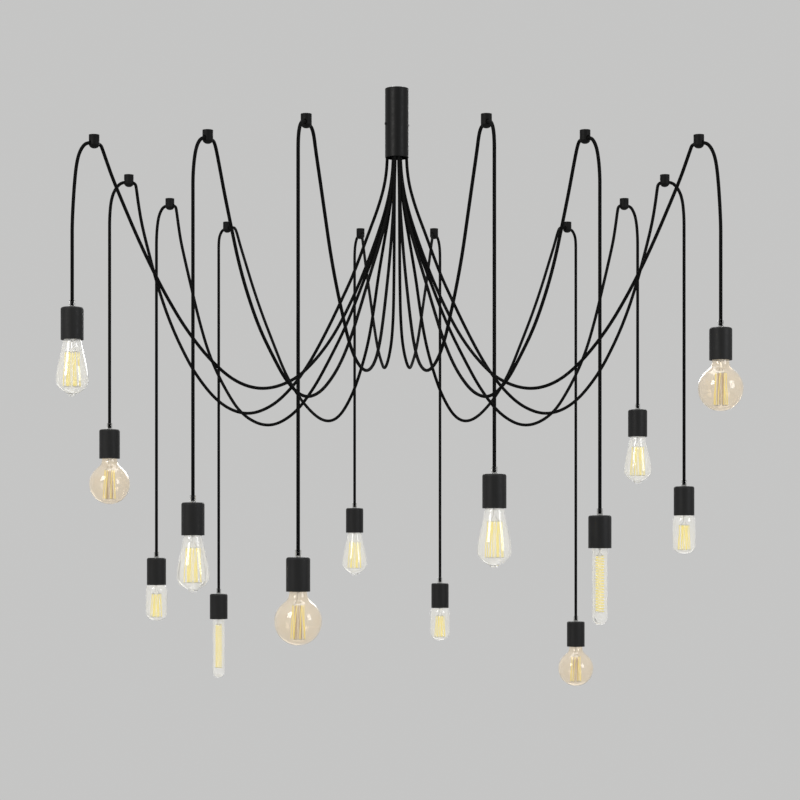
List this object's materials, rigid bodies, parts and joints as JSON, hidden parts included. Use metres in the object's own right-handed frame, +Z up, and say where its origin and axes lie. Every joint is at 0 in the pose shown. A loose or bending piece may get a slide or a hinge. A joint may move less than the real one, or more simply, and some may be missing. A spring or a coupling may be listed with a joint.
{
  "type": "pendant light",
  "caption": "Multi-lamp filament pendant: textile cords leave one small canopy, swag to ceiling hooks and drop to lampholders with clear vintage-style bulbs.",
  "frame": {"origin": "centre of the canopy's ceiling face", "axes": "+Z up to the ceiling, -Y the side that the picture shows, X across the mirrored pairs"},
  "size_m": [1.3588, 1.518, 1.3835],
  "materials": {
    "zinc": "zinc plated",
    "black_metal": "satin black",
    "black_steel": "black oxide",
    "black_plastic": "matte",
    "white_plastic": "matte",
    "core_copper": "sheathed cores",
    "textile": "braided textile",
    "charcoal_metal": "matte charcoal",
    "clear_glass": "clear",
    "amber_glass": "amber tinted"
  },
  "bodies": {
    "frame": {"ceiling_plate": "zinc", "canopy_cover": "black_metal", "cover_screws": "black_steel", "standoffs": "zinc", "cord_plate": "black_plastic", "cord_plate_screws": "zinc", "terminal_block": "white_plastic", "terminal_screws": "zinc", "core_wires": "core_copper", "hook_bodies": "black_metal", "hook_clamp_screws": "black_steel", "swag_cords_1": "textile", "swag_cords_2": "textile", "swag_cords_3": "textile", "swag_cords_4": "textile", "swag_cords_5": "textile", "swag_cords_6": "textile", "swag_cords_7": "textile"},
    "lamp_left_1": {"drop_cord_left_1": "textile", "lampholder_left_1": "charcoal_metal"},
    "bulb_left_1": {"bulb_left_1": "amber_glass"},
    "lamp_right_1": {"drop_cord_right_1": "textile", "lampholder_right_1": "charcoal_metal"},
    "bulb_right_1": {"bulb_right_1": "clear_glass"},
    "lamp_left_2": {"drop_cord_left_2": "textile", "lampholder_left_2": "charcoal_metal"},
    "bulb_left_2": {"bulb_left_2": "clear_glass"},
    "lamp_right_2": {"drop_cord_right_2": "textile", "lampholder_right_2": "charcoal_metal"},
    "bulb_right_2": {"bulb_right_2": "clear_glass"},
    "lamp_left_3": {"drop_cord_left_3": "textile", "lampholder_left_3": "charcoal_metal"},
    "bulb_left_3": {"bulb_left_3": "clear_glass"},
    "lamp_right_3": {"drop_cord_right_3": "textile", "lampholder_right_3": "charcoal_metal"},
    "bulb_right_3": {"bulb_right_3": "amber_glass"},
    "lamp_left_4": {"drop_cord_left_4": "textile", "lampholder_left_4": "charcoal_metal"},
    "bulb_left_4": {"bulb_left_4": "amber_glass"},
    "lamp_right_4": {"drop_cord_right_4": "textile", "lampholder_right_4": "charcoal_metal"},
    "bulb_right_4": {"bulb_right_4": "clear_glass"},
    "lamp_left_5": {"drop_cord_left_5": "textile", "lampholder_left_5": "charcoal_metal"},
    "bulb_left_5": {"bulb_left_5": "clear_glass"},
    "lamp_right_5": {"drop_cord_right_5": "textile", "lampholder_right_5": "charcoal_metal"},
    "bulb_right_5": {"bulb_right_5": "clear_glass"},
    "lamp_left_6": {"drop_cord_left_6": "textile", "lampholder_left_6": "charcoal_metal"},
    "bulb_left_6": {"bulb_left_6": "clear_glass"},
    "lamp_right_6": {"drop_cord_right_6": "textile", "lampholder_right_6": "charcoal_metal"},
    "bulb_right_6": {"bulb_right_6": "amber_glass"},
    "lamp_left_7": {"drop_cord_left_7": "textile", "lampholder_left_7": "charcoal_metal"},
    "bulb_left_7": {"bulb_left_7": "clear_glass"},
    "lamp_right_7": {"drop_cord_right_7": "textile", "lampholder_right_7": "charcoal_metal"},
    "bulb_right_7": {"bulb_right_7": "clear_glass"}
  },
  "joints": [
    {"name": "swing_left_1", "type": "hinge", "parent": "frame", "child": "lamp_left_1", "pos_m": [-0.17, -0.695, -0.224], "axis": [-0.2376, -0.9714, 0], "range_deg": [-12, 12]},
    {"name": "turn_left_1", "type": "hinge", "parent": "lamp_left_1", "child": "bulb_left_1", "pos_m": [-0.18259, -0.74648, -1.084], "axis": [0, 0, 1], "range_deg": [0, 1080]},
    {"name": "swing_right_1", "type": "hinge", "parent": "frame", "child": "lamp_right_1", "pos_m": [0.17, -0.695, -0.224], "axis": [0.2376, -0.9714, 0], "range_deg": [-12, 12]},
    {"name": "turn_right_1", "type": "hinge", "parent": "lamp_right_1", "child": "bulb_right_1", "pos_m": [0.18259, -0.74648, -0.929], "axis": [0, 0, 1], "range_deg": [0, 1080]},
    {"name": "swing_left_2", "type": "hinge", "parent": "frame", "child": "lamp_left_2", "pos_m": [-0.37, -0.55, -0.224], "axis": [-0.5601, -0.8284, 0], "range_deg": [-12, 12]},
    {"name": "turn_left_2", "type": "hinge", "parent": "lamp_left_2", "child": "bulb_left_2", "pos_m": [-0.39521, -0.58728, -0.979], "axis": [0, 0, 1], "range_deg": [0, 1080]},
    {"name": "swing_right_2", "type": "hinge", "parent": "frame", "child": "lamp_right_2", "pos_m": [0.37, -0.55, -0.224], "axis": [0.5601, -0.8284, 0], "range_deg": [-12, 12]},
    {"name": "turn_right_2", "type": "hinge", "parent": "lamp_right_2", "child": "bulb_right_2", "pos_m": [0.39521, -0.58728, -1.004], "axis": [0, 0, 1], "range_deg": [0, 1080]},
    {"name": "swing_left_3", "type": "hinge", "parent": "frame", "child": "lamp_left_3", "pos_m": [-0.6, -0.505, -0.224], "axis": [-0.7639, -0.6453, 0], "range_deg": [-12, 12]},
    {"name": "turn_left_3", "type": "hinge", "parent": "lamp_left_3", "child": "bulb_left_3", "pos_m": [-0.6382, -0.53726, -0.594], "axis": [0, 0, 1], "range_deg": [0, 1080]},
    {"name": "swing_right_3", "type": "hinge", "parent": "frame", "child": "lamp_right_3", "pos_m": [0.6, -0.505, -0.224], "axis": [0.7639, -0.6453, 0], "range_deg": [-12, 12]},
    {"name": "turn_right_3", "type": "hinge", "parent": "lamp_right_3", "child": "bulb_right_3", "pos_m": [0.6382, -0.53726, -0.634], "axis": [0, 0, 1], "range_deg": [0, 1080]},
    {"name": "swing_left_4", "type": "hinge", "parent": "frame", "child": "lamp_left_4", "pos_m": [-0.59, -0.08, -0.224], "axis": [-0.9903, -0.1391, 0], "range_deg": [-12, 12]},
    {"name": "turn_left_4", "type": "hinge", "parent": "lamp_left_4", "child": "bulb_left_4", "pos_m": [-0.63159, -0.08584, -0.809], "axis": [0, 0, 1], "range_deg": [0, 1080]},
    {"name": "swing_right_4", "type": "hinge", "parent": "frame", "child": "lamp_right_4", "pos_m": [0.59, -0.08, -0.224], "axis": [0.9903, -0.1391, 0], "range_deg": [-12, 12]},
    {"name": "turn_right_4", "type": "hinge", "parent": "lamp_right_4", "child": "bulb_right_4", "pos_m": [0.63159, -0.08584, -0.934], "axis": [0, 0, 1], "range_deg": [0, 1080]},
    {"name": "swing_left_5", "type": "hinge", "parent": "frame", "child": "lamp_left_5", "pos_m": [-0.535, 0.22, -0.224], "axis": [-0.9257, 0.3782, 0], "range_deg": [-12, 12]},
    {"name": "turn_left_5", "type": "hinge", "parent": "lamp_left_5", "child": "bulb_left_5", "pos_m": [-0.56833, 0.23361, -1.094], "axis": [0, 0, 1], "range_deg": [0, 1080]},
    {"name": "swing_right_5", "type": "hinge", "parent": "frame", "child": "lamp_right_5", "pos_m": [0.535, 0.22, -0.224], "axis": [0.9257, 0.3782, 0], "range_deg": [-12, 12]},
    {"name": "turn_right_5", "type": "hinge", "parent": "lamp_right_5", "child": "bulb_right_5", "pos_m": [0.56833, 0.23361, -0.744], "axis": [0, 0, 1], "range_deg": [0, 1080]},
    {"name": "swing_left_6", "type": "hinge", "parent": "frame", "child": "lamp_left_6", "pos_m": [-0.43, 0.56, -0.224], "axis": [-0.6118, 0.791, 0], "range_deg": [-12, 12]},
    {"name": "turn_left_6", "type": "hinge", "parent": "lamp_left_6", "child": "bulb_left_6", "pos_m": [-0.45447, 0.59164, -1.189], "axis": [0, 0, 1], "range_deg": [0, 1080]},
    {"name": "swing_right_6", "type": "hinge", "parent": "frame", "child": "lamp_right_6", "pos_m": [0.43, 0.56, -0.224], "axis": [0.6118, 0.791, 0], "range_deg": [-12, 12]},
    {"name": "turn_right_6", "type": "hinge", "parent": "lamp_right_6", "child": "bulb_right_6", "pos_m": [0.45447, 0.59164, -1.259], "axis": [0, 0, 1], "range_deg": [0, 1080]},
    {"name": "swing_left_7", "type": "hinge", "parent": "frame", "child": "lamp_left_7", "pos_m": [-0.095, 0.665, -0.224], "axis": [-0.4687, 0.8834, 0], "range_deg": [-12, 12]},
    {"name": "turn_left_7", "type": "hinge", "parent": "lamp_left_7", "child": "bulb_left_7", "pos_m": [-0.11094, 0.69503, -0.969], "axis": [0, 0, 1], "range_deg": [0, 1080]},
    {"name": "swing_right_7", "type": "hinge", "parent": "frame", "child": "lamp_right_7", "pos_m": [0.095, 0.665, -0.224], "axis": [0.4687, 0.8834, 0], "range_deg": [-12, 12]},
    {"name": "turn_right_7", "type": "hinge", "parent": "lamp_right_7", "child": "bulb_right_7", "pos_m": [0.11094, 0.69503, -1.164], "axis": [0, 0, 1], "range_deg": [0, 1080]}
  ]
}
